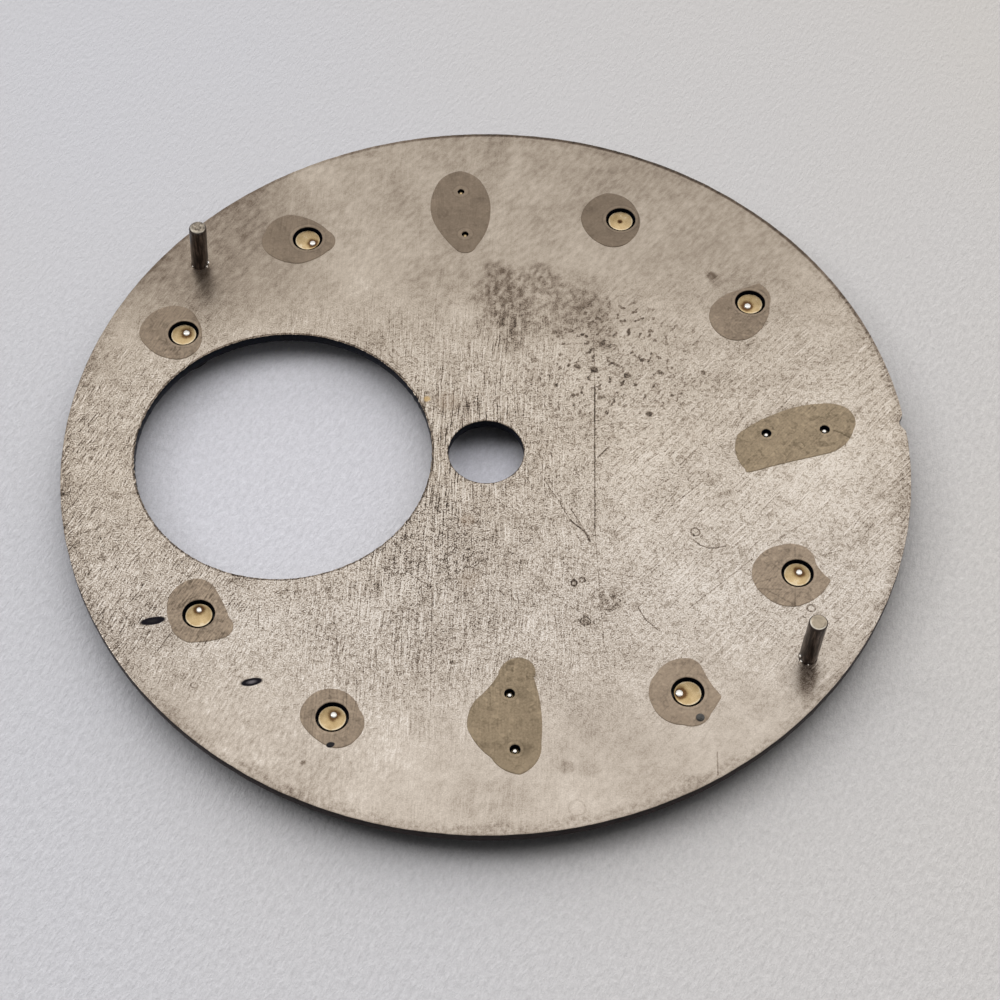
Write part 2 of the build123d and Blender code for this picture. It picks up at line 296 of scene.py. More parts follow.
def circle_in(low, high):
    """The centre and radius of the circle that fills a box."""
    return ((low[0] + high[0]) / 2, (low[1] + high[1]) / 2), (high[0] - low[0]) / 2


def scaled(form, radius, height, base):
    """A profile of (radius, height) from the shares in a form."""
    return [(radius * out, base + height * up) for out, up in form]


class Value:
    """An output of a node. Arithmetic with it makes further nodes."""

    def __init__(self, graph, socket):
        self.graph = graph
        self.socket = socket

    def __add__(self, other):
        return self.graph.math("ADD", self, other)

    def __sub__(self, other):
        return self.graph.math("SUBTRACT", self, other)

    def __rsub__(self, other):
        return self.graph.math("SUBTRACT", other, self)

    def __mul__(self, other):
        return self.graph.math("MULTIPLY", self, other)

    def __abs__(self):
        return self.graph.math("ABSOLUTE", self)


class Graph:
    """A node tree, with short names for the nodes that the finishes and the sky are made of."""

    def __init__(self, tree, coordinates):
        self.tree = tree
        self.place = self.node("TexCoord", coordinates)

    def put(self, value, socket):
        if isinstance(value, Value):
            self.tree.links.new(value.socket, socket)
        else:
            socket.default_value = value

    def node(self, kind, output, inputs=(), **settings):
        """An output of a new node. inputs holds values by each input's number or name."""
        node = self.tree.nodes.new(f"ShaderNode{kind}")
        for name, setting in settings.items():
            setattr(node, name, setting)
        for key, value in dict(inputs).items():
            self.put(value, node.inputs[key])
        return Value(self, node.outputs[output])

    def math(self, operation, first, second=0.0):
        return self.node("Math", 0, {0: first, 1: second}, operation=operation)

    def larger(self, first, second):
        return self.math("MAXIMUM", first, second)

    def mixed(self, amount, first, second):
        """first where amount is 0 and second where it is 1."""
        return self.node("Mix", 0, {0: amount, 2: first, 3: second})

    def ramp(self, value, low, high, out_low=0.0, out_high=1.0, smooth=False):
        """Value between low and high, carried over to the range from out_low to out_high."""
        kind = "SMOOTHSTEP" if smooth else "LINEAR"
        inputs = enumerate((value, low, high, out_low, out_high))
        return self.node("MapRange", 0, inputs, interpolation_type=kind)

    def vector(self, operation, first, second=(0.0, 0.0, 0.0), scale=1.0):
        output = "Value" if operation in ("LENGTH", "DISTANCE", "DOT_PRODUCT") else "Vector"
        return self.node("VectorMath", output, {0: first, 1: second, 3: scale}, operation=operation)

    def axes(self):
        """The place's X, Y and Z."""
        return [self.node("SeparateXYZ", axis, {0: self.place}) for axis in "XYZ"]


class Finish(Graph):
    """A procedural material, whose patterns are laid out in millimetres."""

    def __init__(self, name):
        self.material = bpy.data.materials.new(name)
        self.material.use_nodes = True
        super().__init__(self.material.node_tree, "Object")
        self.shader = self.tree.nodes["Principled BSDF"]
        self.place = self.vector("SCALE", self.place, scale=1 / MM)

    def feed(self, name, value):
        self.put(value, self.shader.inputs[name])

    def noise(self, size, detail=2.0, roughness=0.5, place=None):
        """Soft noise from 0 to 1, with features of about this size."""
        inputs = {"Vector": self.place if place is None else place, "Scale": 1 / size, "Detail": detail,
                  "Roughness": roughness}
        return self.node("TexNoise", "Fac", inputs)

    def varied(self, low, high, size, detail=2.0, roughness=0.5, place=None):
        """Soft noise that mostly keeps between low and high."""
        return self.ramp(self.noise(size, detail, roughness, place), *USUAL, low, high)

    def shaken(self, size, reach):
        """The place, shifted at random by up to about this reach."""
        shift = self.node("TexNoise", "Color", {"Vector": self.place, "Scale": 1 / size})
        centred = self.vector("SUBTRACT", shift, (0.5, 0.5, 0.5))
        return self.vector("ADD", self.place, self.vector("SCALE", centred, scale=2 * reach))

    def colours(self, value, stops):
        """A colour picked along a list of (position, colour)."""
        picked = self.node("ValToRGB", 0, {0: value})
        points = picked.socket.node.color_ramp.elements
        while len(points) < len(stops):
            points.new(0.5)
        for point, (position, colour) in zip(points, stops):
            point.position = position
            point.color = (*colour, 1.0)
        return picked

    def blend(self, amount, first, second):
        """The first colour where amount is 0 and the second where it is 1."""
        inputs = {0: amount}
        for number, colour in ((6, first), (7, second)):
            inputs[number] = (*colour, 1.0) if isinstance(colour, tuple) else colour
        return self.node("Mix", 2, inputs, data_type="RGBA")

    def stretched(self, angle, along, across, place=None, centre=(0.0, 0.0)):
        """Coordinates in which a feature of size 1 is this long and wide, and lies at this angle."""
        inputs = {"Vector": self.place if place is None else place, "Location": (*centre, 0.0),
                  "Rotation": (0.0, 0.0, math.radians(angle)), "Scale": (along, across, 1.0)}
        return self.node("Mapping", 0, inputs, vector_type="TEXTURE")

    def streaks(self, roughness, stroke, place):
        """Noise of long strokes. A stroke is (angle, length, width)."""
        return self.noise(1.0, 1.0, roughness, self.stretched(*stroke, place))

    def flat(self, place=None):
        """The coordinates without their height."""
        return self.vector("MULTIPLY", self.place if place is None else place, (1.0, 1.0, 0.0))

    def radius(self):
        """How far the place lies from the dial's axis."""
        return self.vector("LENGTH", self.flat())

    def away(self, centre, place=None):
        """How far the place lies from an upright axis."""
        return self.vector("DISTANCE", self.flat() if place is None else place, (*centre, 0.0))

    def oval(self, centre, angle, along, across, place):
        """0 at an ellipse's centre and 1 on its edge."""
        return self.vector("LENGTH", self.stretched(angle, along, across, place, centre))

    def stroke(self, start, end, width, strength, place):
        """A straight line that fades out at its edges."""
        first = Vector((*start, 0.0))
        run = Vector((*end, 0.0)) - first
        away = self.vector("SUBTRACT", place, tuple(first))
        share = self.vector("DOT_PRODUCT", away, tuple(run / run.length_squared))
        share = self.math("MINIMUM", self.larger(share, 0.0), 1.0)
        nearest = self.vector("SCALE", tuple(run), scale=share)
        distance = self.vector("DISTANCE", away, nearest)
        return self.ramp(distance, width * 0.4, width, strength, 0.0, smooth=True)

    def circle(self, centre, radius, width, strength, place=None):
        """A thin ring line."""
        offset = abs(self.away(centre, place) - radius)
        return self.ramp(offset, width * 0.3, width, strength, 0.0, smooth=True)

    def spot(self, centre, radius, strength, place=None):
        """A soft round patch."""
        return self.ramp(self.away(centre, place), radius * 0.4, radius, strength, 0.0, smooth=True)

    def highest(self, values):
        """The largest of several values, each made just before it is used, to keep the shader small."""
        result = 0.0
        for value in values:
            result = self.larger(result, value)
        return result

    def bump(self, height, distance, strength=0.5):
        """Relief, where height 1 stands this many millimetres proud."""
        inputs = {"Strength": strength, "Distance": distance * MM, "Height": height}
        self.feed("Normal", self.node("Bump", 0, inputs))


def sharpness(look, far_share=0.14, near_share=0.2):
    """How crisp the fine detail is: full in the middle, faint on the far side and along the near edge."""
    x, y, _ = look.axes()
    far = look.ramp(y, *FAR_FADE, far_share, 1.0, smooth=True)
    depth = y + look.ramp(x, -4.0, -9.0, 0.0, -1.6)
    near = look.ramp(depth, *NEAR_FADE, near_share, 1.0, smooth=True)
    side = look.ramp(x, *SIDE_FADE, 0.86, 1.0)
    return far * near * side


def sanding(look):
    """Fine strokes of the sanding, from -1 to 1: steep in the middle and slanting towards both sides."""
    place = look.shaken(2.5, 0.22)
    steep, slanting, shallow = [look.streaks(0.6, stroke, place) for stroke in SANDING]
    x = look.axes()[0]
    strokes = look.mixed(look.ramp(x, -6.0, -9.0, smooth=True), steep, slanting)
    strokes = look.mixed(look.ramp(x, 1.8, 5.0, smooth=True), strokes, shallow)
    strokes = look.ramp(strokes, *USUAL, -1.3, 1.3)
    strokes *= abs(strokes)
    weight = look.varied(0.3, 1.5, 1.6) * look.ramp(x, -10.0, 4.0, 1.05, 0.62)
    for patch in STRONG_SANDING:
        weight += look.spot(*patch)
    return strokes * weight


def scratches(look):
    """Sparse long scratches, from 0 to 1."""
    place = look.shaken(4.0, 0.5)
    steep, slanting = [look.streaks(0.5, stroke, place) for stroke in LONG_SCRATCHES]
    chosen = look.mixed(look.ramp(look.axes()[0], 0.5, 3.5, smooth=True), steep, slanting)
    return look.ramp(chosen, 0.68, 0.74)


def curls(look, size, width, gap):
    """Short curly strokes, where a soft noise passes its middle value and another one is above gap."""
    off = abs(look.noise(size, 1.0) - 0.5)
    line = look.ramp(off, width * 0.3 / size, width / size, 1.0, 0.0)
    return line * look.ramp(look.noise(size * 1.3, 1.0), gap, gap + 0.06)


def metal_relief(look):
    """The metal's fine light and dark detail."""
    x = look.axes()[0]
    fine = look.ramp(look.noise(0.044, 1.0, 0.6), 0.34, 0.66, -0.36, 0.36)
    fine *= look.ramp(x, 2.0, 10.0, 1.0, 0.68)
    fine += sanding(look) * 0.23
    patchy = look.ramp(look.noise(2.2, 2.0, 0.6), 0.4, 0.62, 0.35, 1.0)
    specks = look.ramp(look.noise(0.085, 1.0), 0.6, 0.67)
    line = curls(look, 0.13, 0.018, 0.52) * look.ramp(x, -9.0, -5.0, 0.5, 0.85)
    line = look.larger(line, curls(look, 0.4, 0.024, 0.56) * 0.8)
    line = look.larger(line, scratches(look) * 0.8)
    line = look.larger(line, specks * patchy)
    fine -= line * 0.36
    return fine * (sharpness(look) + look.spot(*STRONG_DETAIL))


def metal_stain(look):
    """The dark speckled stain above the bore, and the specks strewn to its right."""
    shifted = look.shaken(1.4, 0.9)
    grains = look.noise(1.0, 2.5, 0.6, look.stretched(65.0, 0.32, 0.22))
    level = look.flat(shifted)
    lobes = look.highest(look.spot(*lobe, level) for lobe in STAIN_LOBES)
    stain = lobes * look.ramp(grains, 0.4, 0.6, 0.09, 0.31)
    strewn = look.spot(*STREWN, level)
    specks = look.noise(1.0, 2.0, 0.5, look.stretched(60.0, 0.3, 0.22))
    return look.larger(stain, strewn * look.ramp(specks, 0.59, 0.64, 0.0, 0.44))


def chain(look, points, width, strength, place):
    """The strokes of a line through several points, one by one."""
    for start, end in zip(points, points[1:]):
        yield look.stroke(start, end, width, strength, place)


def marks(look, steady, ragged):
    """The back's scratches, rings and spots, one by one."""
    for scratch in SCRATCHES:
        yield from chain(look, *scratch, steady)
    for centre, radius, dark in RINGS:
        yield look.circle(centre, radius, RING_WIDTH, dark, ragged)
    for spot in SPOTS:
        yield look.spot(*spot, ragged)
    yield curls(look, 0.24, 0.035, 0.4) * look.spot(*CURLY_MARK, steady)


def inked(look, colour, place):
    """The colour with the black ink strokes over it."""
    for centre, along, across, pale in INK_STROKES:
        away = look.oval(centre, INK_ANGLE, along, across, place)
        grey = INK[0] + 0.13 * pale
        ink = look.colours(away, [(0.15, (grey, grey * 0.92, grey * 0.96)), (0.55, INK)])
        colour = look.blend(look.ramp(away, 1.05, 0.85), colour, ink)
    return colour


def worn_and_shaded(look, large_holes):
    """The dark wear along the rim, dark lines at its edge that are stronger on the far side, dark rings at
    the edges of the large holes, and the painted shadow and reflection of the feet.
    """
    x, y, _ = look.axes()
    radius = look.radius()
    wander = look.varied(-0.22, 0.22, 1.2, 3.0, 0.6)
    band = look.ramp(radius + wander, *RIM_WEAR, smooth=True)
    dashes = look.ramp(look.noise(0.16, 2.0, 0.6), 0.36, 0.62, 0.12, 1.0)
    line = look.ramp(radius, *RIM_LINE, 0.0, 0.9)
    rim = look.larger(band * dashes, line)
    dark = rim * look.ramp(y, 2.0, 8.0, 0.2, 0.09)
    edge = look.ramp(radius, *FAR_LINE, 0.0, 0.42)
    edge *= look.ramp(x, -8.0, 2.0, 0.25, 1.0)
    dark = look.larger(dark, edge * look.ramp(y, -2.0, 5.0))
    for centre, reach in large_holes:
        dark = look.larger(dark, look.circle(centre, reach + 0.01, 0.05, 0.42))
    # Painted shadow and reflection of the feet on the metal
    for centre, angle, along, across, strength in PAINTED_FOOT_SHADOWS:
        away = look.oval(centre, angle, along, across, look.flat())
        dark += look.ramp(away, 0.3, 1.0, strength, 0.0, smooth=True)
    return dark


def back_metal(large_holes):
    """Nickel-plated brass, sanded and stained."""
    look = Finish("back_metal")
    fine = metal_relief(look)
    x, y, _ = look.axes()
    clouds = look.varied(-0.085, 0.085, 3.4, 4.0, 0.62)
    clouds += look.ramp(x, -12.0, 6.0, -0.01, 0.05)
    for patch in SOFT_PATCHES:
        clouds += look.spot(*patch)
    mottle = look.varied(-0.055, 0.055, 0.9, 3.0, 0.6)
    smeared = look.varied(-0.09, 0.09, 1.0, 2.0, 0.6, look.stretched(47.0, 0.44, 0.2))
    smeared *= look.ramp(y, -8.0, 0.0, 0.62, 1.0)
    mottle += smeared * (1.1 - sharpness(look))
    wrinkles = look.varied(-0.12, 0.12, 1.0, 2.0, 0.6, look.stretched(57.0, 0.24, 0.11))
    mottle += wrinkles * look.spot(*WRINKLED)
    wear_and_shade = worn_and_shaded(look, large_holes)
    ragged = look.flat(look.shaken(0.4, 0.06))
    steady = look.flat(look.shaken(0.5, 0.02))
    marked = look.highest(marks(look, steady, ragged))

    tone = clouds + mottle + MIDDLE_TONE
    tone += fine
    for dark in (metal_stain(look), wear_and_shade, marked):
        tone -= dark
    colour = look.colours(tone, METAL_TONES)
    cool = look.vector("MULTIPLY", colour, (0.982, 1.0, 1.035))
    colour = look.blend(look.ramp(y, 0.0, -6.0), colour, cool)
    rust = look.highest(look.spot(*spot, ragged) for spot in RUST_SPOTS)
    colour = look.blend(rust, colour, RUST)
    colour = look.blend(look.spot(*GOLDEN_SPOT, ragged), colour, GOLDEN)
    look.feed("Base Color", inked(look, colour, steady))
    look.feed("Metallic", 0.92)
    look.feed("Roughness", look.ramp(fine, -0.3, 0.3, 0.36, 0.24))
    look.bump(fine, 0.01, 0.6)
    return look.material


def lacquer(name, gloss):
    """Dark blue lacquer: glossy on the front, with a minute track, and matt on the rim and in the holes."""
    look = Finish(name)
    x, y, _ = look.axes()
    angle = look.math("ARCTAN2", y, x)
    radius = look.radius()
    rays = look.node("CombineXYZ", 0, {0: angle * 40.0, 1: radius * 0.08})
    brushed = look.noise(1.0, 3.0, 0.6, rays)
    tint = look.varied(0.0, 0.35, 0.3, 3.0, 0.6)
    uneven = tint + look.ramp(brushed, *USUAL, 0.0, 0.65)
    colour = look.colours(uneven, [(0.0, (0.003, 0.004, 0.006)), (1.0, (0.007, 0.009, 0.018))])
    if gloss:
        turn = (angle + math.pi) * (60 / math.tau)
        off = look.math("FRACT", turn + 0.5) - 0.5
        off = abs(off) * (radius * (math.tau / 60))
        inner, outer = MINUTE_TRACK
        band = look.ramp(radius, inner, inner + 0.03) * look.ramp(radius, outer, outer + 0.03, 1.0, 0.0)
        printed = look.ramp(off, MINUTE_LINE, MINUTE_LINE + 0.02, 1.0, 0.0) * band
        colour = look.blend(printed, colour, (0.66, 0.66, 0.64))
        look.feed("Coat Weight", 0.5)
        look.feed("Coat Roughness", 0.12)
    else:
        dusty = look.colours(uneven, [(0.0, (0.018, 0.013, 0.013)), (1.0, (0.056, 0.043, 0.042))])
        colour = look.blend(look.ramp(radius, 12.0, 13.5), colour, dusty)
        look.feed("Specular IOR Level", 0.07)
    look.feed("Base Color", colour)
    look.feed("Roughness", look.ramp(brushed, *USUAL, 0.34, 0.46))
    look.bump(look.noise(0.12, 3.0, 0.6), 0.004)
    return look.material


def gold(stubs, shaded):
    """Gold plate with fine turning marks, stained by old glue beside each pip. Painted shade darkens the
    stubs' sides in the holes, the cups' sides just under the plate and the side that can be seen through the
    opening, and a painted highlight makes each stub's edge paler."""
    look = Finish("gold_plate")
    tone = look.varied(0.0, 1.0, 0.25, 3.0, 0.6)
    for hour, (x, y) in stubs.items():
        right, far, reach = PIPS[hour]
        tone -= look.ramp(look.away((x + right, y + far)), reach * 0.9, reach * 2.5, 1.9, 0.0)
    # Painted highlight: a paler ring round each stub's edge
    for centre in stubs.values():
        away = look.away(centre)
        tone += look.ramp(away, 0.37, 0.41, 0.0, 0.6) * look.ramp(away, 0.5, 0.6, 1.0, 0.0)
    tone = look.ramp(tone, -1.0, 1.0)
    colour = look.colours(tone, [(0.1, (0.13, 0.068, 0.028)), (0.5, (0.42, 0.3, 0.15)),
                                 (0.9, (0.56, 0.42, 0.235)), (1.0, (0.66, 0.54, 0.36))])
    height = look.axes()[2]
    # Painted shade: dark on the stubs' sides in the holes, on the cups' sides just under the plate, and on
    # the side seen through the opening
    inside = look.ramp(height, -0.85, -0.55) * look.ramp(height, -0.16, -0.11, 1.0, 0.0)
    side = look.spot(shaded, 1.1, 1.0) * look.ramp(height, -0.3, -0.4)
    inside = look.larger(inside, side)
    look.feed("Base Color", look.blend(inside, colour, (0.01, 0.008, 0.007)))
    look.feed("Metallic", 1.0 - inside)
    fine = look.noise(0.05, 2.0, 0.6)
    look.feed("Roughness", look.ramp(fine, *USUAL, 0.22, 0.36))
    look.bump(fine, 0.002)
    return look.material


def grained(name, detail, dark, pale, relief, strength):
    """A finish that a fine grain varies between two colours, and the grain."""
    look = Finish(name)
    grain = look.noise(0.06, detail, 0.6)
    look.feed("Base Color", look.colours(grain, list(zip(USUAL, (dark, pale)))))
    look.bump(grain, relief, strength)
    return look, grain


def bright_metal():
    """Bare bright metal, as on pips, pin ends and bits of brazing."""
    look, grain = grained("bright_metal", 2.0, (0.86, 0.82, 0.75), (0.97, 0.95, 0.91), 0.002, 0.4)
    look.feed("Metallic", 1.0)
    look.feed("Roughness", look.ramp(grain, *USUAL, 0.12, 0.24))
    return look.material


def dark_glue():
    """The drop of old glue that dried dark grey."""
    look, _ = grained("dark_glue", 3.0, (0.035, 0.033, 0.03), (0.085, 0.08, 0.074), 0.006, 0.6)
    look.feed("Roughness", 0.45)
    return look.material


def lume():
    """Pale luminous paste, dried matt and slightly grainy."""
    look, _ = grained("lume", 3.0, (0.66, 0.7, 0.52), (0.8, 0.84, 0.68), 0.006, 0.8)
    look.feed("Roughness", 0.8)
    return look.material


def tarnished(tips):
    """The feet's dark, oxidised plating, paler on the cut end, which is cracked where it was cut roughly.
    Each tip has a painted highlight, a bright crescent near its edge, and a painted dark reflection in a
    thin ring round its edge.
    """
    look = Finish("tarnished_plate")
    x, _, height = look.axes()
    tip = look.ramp(height, 1.96, 1.99)
    streaks = look.noise(1.0, 3.0, 0.6, look.vector("MULTIPLY", look.place, (14.0, 14.0, 1.5)))
    brown = (0.05, 0.037, 0.032)
    dark = look.colours(streaks, [(0.32, (0.018, 0.013, 0.011)), (0.5, brown), (0.68, (0.15, 0.118, 0.1))])
    cracks = look.ramp(look.noise(0.13, 2.0, 0.6), 0.42, 0.6, 0.25, 1.0)
    cracks = look.larger(cracks, look.ramp(x, -1.0, 1.0))
    smooth = look.varied(0.0, 1.0, 0.1, 3.0, 0.6)
    pale = look.blend(look.ramp(x, -1.0, 1.0), (0.4, 0.345, 0.275), (0.42, 0.355, 0.268))
    cut = look.vector("SCALE", pale, scale=look.ramp(smooth, 0.0, 1.0, 0.85, 1.12))
    cut = look.blend(cracks, (0.1, 0.085, 0.07), cut)
    for centre in tips:
        away = look.away(centre)
        on_tip = look.ramp(away, 0.4, 0.5, 1.0, 0.0)
        # Painted highlight: a bright crescent near the edge of each tip, stronger on the foot at the right
        from_glint = look.away((centre[0] + 0.05, centre[1] + 0.07))
        bright = look.ramp(from_glint, 0.26, 0.29) * on_tip
        bright *= look.ramp(x, -1.0, 1.0, 0.3, 0.8)
        cut = look.blend(bright, cut, (0.8, 0.75, 0.64))
        # Painted dark reflection: a thin ring at the edge of each tip
        outer = look.ramp(away, 0.255, 0.275) * on_tip
        cut = look.blend(outer, cut, brown)
    look.feed("Base Color", look.blend(tip, dark, cut))
    look.feed("Metallic", 0.85)
    look.feed("Roughness", look.ramp(streaks, *USUAL, 0.42, 0.26))
    look.bump(streaks, 0.01)
    return look.material


def glue(hour, holes):
    """A dried adhesive film, through which the metal's sanding shows. It is paler round its holes, a painted
    reflection of a lip of glue there.
    """
    look = Finish(f"film_{hour}")
    lift, sanded = FILMS[hour]
    fine = sanding(look) * sanded + look.varied(-0.26, 0.26, 0.07, 2.0, 0.6)
    fine -= curls(look, 0.3, 0.03, 0.54) * 0.35
    fine += look.ramp(look.noise(0.17, 0.0), 0.64, 0.74, 0.0, 0.3)
    tone = fine * sharpness(look, 0.3, 0.55) + (0.5 + lift)
    tone += look.varied(-0.1, 0.1, 0.9)
    steady = look.flat(look.shaken(0.5, 0.03))
    for centre, radius in holes:
        away = look.away(centre, steady) - radius
        # Painted reflection: a paler ring round each hole
        tone += look.ramp(away, 0.04, 0.12, 0.16, 0.0)
        tone -= look.ramp(abs(away - 0.13), 0.0, 0.03, 0.14, 0.0)
    for points, dark in FILM_CRACKS.get(hour, ()):
        for line in chain(look, points, CRACK_WIDTH, dark, steady):
            tone -= line
    if hour == "12":
        for smudge in PIN_SMUDGES:
            tone -= look.spot(*smudge, steady)
    tones = YELLOW_TONES if hour in YELLOW_FILMS else FILM_TONES
    colour = look.colours(tone, list(enumerate(tones)))
    if hour in INKED_FILMS:
        colour = inked(look, colour, steady)
    look.feed("Base Color", colour)
    look.feed("Roughness", look.varied(0.36, 0.52, 0.3, 2.0, 0.6))
    look.feed("Specular IOR Level", 0.4)
    look.feed("Metallic", 0.5)
    look.bump(tone + look.noise(0.4), 0.004)
    return look.material


def paper():
    """Pale paper with a fine tooth, cooler at the left and warmer at the right, with painted blue light in
    the holes and painted light and shade where it shows through the opening and the bore.
    """
    look = Finish("paper")
    tooth = look.noise(1.0, 3.0, 0.75, look.stretched(62.0, 0.3, 0.15))
    x, y, _ = look.axes()
    drift = look.varied(-0.2, 0.2, 25.0) + look.ramp(x, -14.0, 22.0)
    colour = look.colours(drift, [(0.0, (0.7, 0.7, 0.735)), (1.0, (0.715, 0.69, 0.665))])
    for patch in COOL_SPOTS:
        colour = look.blend(look.spot(*patch), colour, COOL_PAPER)
    # Painted light and shade near the far edges of the opening and the bore
    for centre, radius, start, end, near_lift, far_lift in PAINTED_LIGHT_AND_SHADE:
        inside = look.ramp(look.away(centre), radius, radius + 0.6, 1.0, 0.0)
        lift = look.ramp(y, start, end, near_lift, far_lift) * inside
        colour = look.vector("SCALE", colour, scale=lift + 1.0)
    fibres = look.ramp(tooth, *USUAL, -0.09, 0.09) + look.varied(-0.035, 0.035, 0.07, 1.0, 0.6)
    shade = fibres * look.ramp(y, 14.0, 4.0, 0.25, 1.0)
    look.feed("Base Color", look.vector("SCALE", colour, scale=shade + 1.0))
    look.feed("Roughness", 0.9)
    look.feed("Specular IOR Level", 0.1)
    look.bump(tooth, 0.08)
    return look.material


def finished(bm, name, materials, sharp=32.0, flat=()):
    """A mesh object made from a bmesh, smooth but for its sharp edges and flat faces."""
    bmesh.ops.recalc_face_normals(bm, faces=bm.faces)
    for face in bm.faces:
        face.smooth = True
    bm.faces.index_update()
    flat_numbers = [face.index for face in flat]
    mesh = bpy.data.meshes.new(name)
    bm.to_mesh(mesh)
    bm.free()
    mesh.set_sharp_from_angle(angle=math.radians(sharp))
    for number in flat_numbers:
        mesh.polygons[number].use_smooth = False
    for material in materials:
        mesh.materials.append(material)
    piece = bpy.data.objects.new(name, mesh)
    bpy.context.scene.collection.objects.link(piece)
    return piece


def stands_for(piece, node):
    """The piece moves with the dial and hides its CAD node."""
    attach(piece, "root")
    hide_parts(node)


def add_ring(bm, points, z):
    """A closed ring of vertices at one height."""
    return [bm.verts.new(local(x, y, z)) for x, y in points]


def join_rings(bm, first, second, slot=0):
    """A band of faces between two rings with the same number of points."""
    for index in range(len(first)):
        after = (index + 1) % len(first)
        bm.faces.new((first[index], first[after], second[after], second[index])).material_index = slot


def rough(angle, seed, size, frequency):
    """A small unevenness from 0 to size along an edge."""
    spot = Vector((math.cos(angle) * frequency, math.sin(angle) * frequency, seed))
    return size * (0.5 + 0.5 * noise.noise(spot))


def turns(steps):
    """Evenly spaced angles of a full turn."""
    return [math.tau * index / steps for index in range(steps)]


def hole_loop(centre, radius, steps, ragged, seed, frequency):
    """A function that gives a slightly ragged hole's points for an inset into the material."""
    def points(inset):
        result = []
        for angle in turns(steps):
            reach = radius + (inset + rough(angle, seed, ragged, frequency))
            result.append((centre[0] + reach * math.cos(angle), centre[1] + reach * math.sin(angle)))
        return result
    return points


def rim_loop(radius):
    """The dial's edge, slightly uneven, with its nick."""
    def points(inset):
        result = []
        for angle in turns(RIM_STEPS):
            off = (math.degrees(angle) - NICK_ANGLE + 180) % 360 - 180
            share = abs(math.radians(off)) * radius / (NICK_WIDTH / 2)
            bite = NICK_DEPTH * max(0.0, 1 - share) ** 0.8
            reach = radius - inset - bite - rough(angle, 3.0, 0.02, 30.0) - rough(angle, 7.0, 0.012, 90.0)
            result.append((reach * math.cos(angle), reach * math.sin(angle)))
        return result
    return points


def slab(name, loops, profile, materials, slots):
    """A flat piece with holes. profile is (inset, height) from one face to the other. slots has the slot of
    each band, with the faces first and last."""
    bm = bmesh.new()
    ends = ([], [])
    for loop in loops:
        rings = [add_ring(bm, loop(inset), z) for inset, z in profile]
        for first, second, slot in zip(rings, rings[1:], slots[1:]):
            join_rings(bm, first, second, slot)
        for end, ring in zip(ends, (rings[0], rings[-1])):
            end += [bm.edges.get(pair) for pair in zip(ring, ring[1:] + ring[:1])]
    flat = []
    for end, slot in zip(ends, (slots[0], slots[-1])):
        filled = bmesh.ops.triangle_fill(bm, use_beauty=True, edges=end)
        for element in filled["geom"]:
            if isinstance(element, bmesh.types.BMFace):
                element.material_index = slot
                flat.append(element)
    return finished(bm, name, materials, flat=flat)


def lathe(bm, centre, profile, steps=72, lean=(0.0, 0.0), slot=0):
    """A turned surface along an upright axis. profile is (radius, height), and lean is how far the axis goes
    out of line for each millimetre of height."""
    rings = []
    for radius, z in profile:
        x = centre[0] + lean[0] * z
        y = centre[1] + lean[1] * z
        if radius == 0:
            rings.append([bm.verts.new(local(x, y, z))])
        else:
            points = [(x + radius * math.cos(angle), y + radius * math.sin(angle)) for angle in turns(steps)]
            rings.append(add_ring(bm, points, z))
    for first, second in zip(rings, rings[1:]):
        if len(first) == 1 or len(second) == 1:
            fan, ring = (first[0], second) if len(first) == 1 else (second[0], first)
            for here, after in zip(ring, ring[1:] + ring[:1]):
                bm.faces.new((fan, here, after)).material_index = slot
        else:
            join_rings(bm, first, second, slot)


def around(points):
    """The length round a closed loop."""
    return sum(math.dist(a, b) for a, b in zip(points, points[1:] + points[:1]))


def boundary_loops(node):
    """The closed outlines of a flat CAD node's top face, longest first, in millimetres."""
    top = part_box(node)[1].z
    bm = bmesh.new()
    bm.from_mesh(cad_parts[node].data)
    bmesh.ops.remove_doubles(bm, verts=bm.verts, dist=1e-8)
    faces = {face for face in bm.faces if all(abs(v.co.z - top) < 1e-7 for v in face.verts)}
    edges = [edge for edge in bm.edges if sum(face in faces for face in edge.link_faces) == 1]
    loops = []
    while edges:
        edge = edges.pop()
        start, vertex = edge.verts
        loop = [start.co.copy()]
        while vertex != start:
            loop.append(vertex.co.copy())
            edge = next(e for e in vertex.link_edges if e in edges)
            edges.remove(edge)
            vertex = edge.other_vert(vertex)
        loops.append([(point.x / MM, point.y / MM) for point in loop])
    bm.free()
    return sorted(loops, key=around, reverse=True)


def circle_of(points):
    """The centre and radius of a round outline."""
    return circle_in(*[[pick(point[axis] for point in points) for axis in (0, 1)] for pick in (min, max)])


def holes_under(node, holes):
    """The marker holes that lie within a CAD node's box."""
    low, high = span(node)
    return [(centre, radius) for centre, radius in holes
            if radius < LARGE_HOLE and low.x < centre[0] < high.x and low.y < centre[1] < high.y]


def make_plate(holes, metal, wall, face):
    """The dial plate, with bare metal on its back and lacquer everywhere else."""
    low, high = span("dial_plate")
    loops = [rim_loop((high.y - low.y) / 2)]
    for number, (centre, radius) in enumerate(holes):
        if radius > OPENING_HOLE:
            loops.append(hole_loop(centre, radius - 0.05, OPENING_STEPS, 0.04, number, 30.0))
        else:
            loops.append(hole_loop(centre, radius, HOLE_STEPS, 0.004, number, 3.0))
    back = [(BACK_BREAK * inset, high.z - BACK_BREAK * down) for inset, down in BREAK_FORM]
    front = [(FRONT_BREAK * inset, low.z + FRONT_BREAK * up) for inset, up in BREAK_FORM]
    profile = back + front[::-1]
    piece = slab("plate", loops, profile, [metal, wall, face], [0, 0, 1, 1, 1, 2, 2])
    stands_for(piece, "dial_plate")


